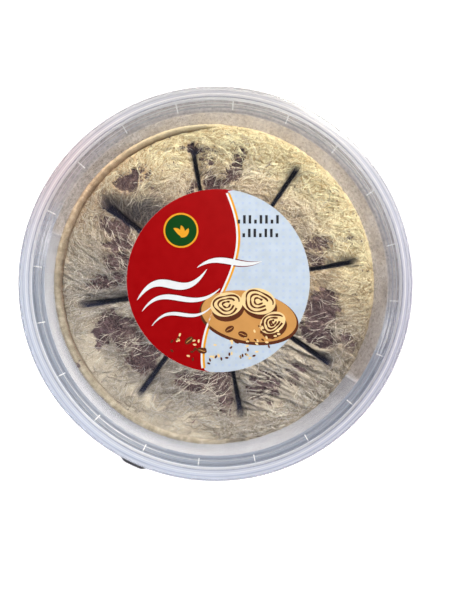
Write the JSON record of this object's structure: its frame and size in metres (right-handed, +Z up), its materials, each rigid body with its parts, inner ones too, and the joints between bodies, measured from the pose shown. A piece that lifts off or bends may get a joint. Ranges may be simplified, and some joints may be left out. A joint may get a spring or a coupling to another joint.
{
  "type": "lidded tub of marbled halva",
  "caption": "Round clear plastic tub with a press-on lid, filled with a pressed cake of marbled cocoa halva scored into wedges; round lid label and paper side label.",
  "frame": {"origin": "middle of the base, on the surface that the tub stands on", "axes": "+Z up through the lid, +Y towards the top of the lid label, +X to its right"},
  "size_m": [0.118, 0.118, 0.052],
  "materials": {
    "tub_plastic": "clear natural polypropylene, slightly milky, smooth",
    "lid_plastic": "clear natural polypropylene, milkier in the thick rim, smooth",
    "halva": "pressed flossy halva, cream marbled with cocoa, fibrous and matt",
    "lid_label_paper": "coated label paper, fields of red and pale blue grey",
    "band_label_paper": "coated label paper, white at the back, plain printed fields outside"
  },
  "bodies": {
    "root": {"tub": "tub_plastic", "lid": "lid_plastic", "halva": "halva", "lid_label": "lid_label_paper", "band_label": "band_label_paper"}
  },
  "joints": []
}
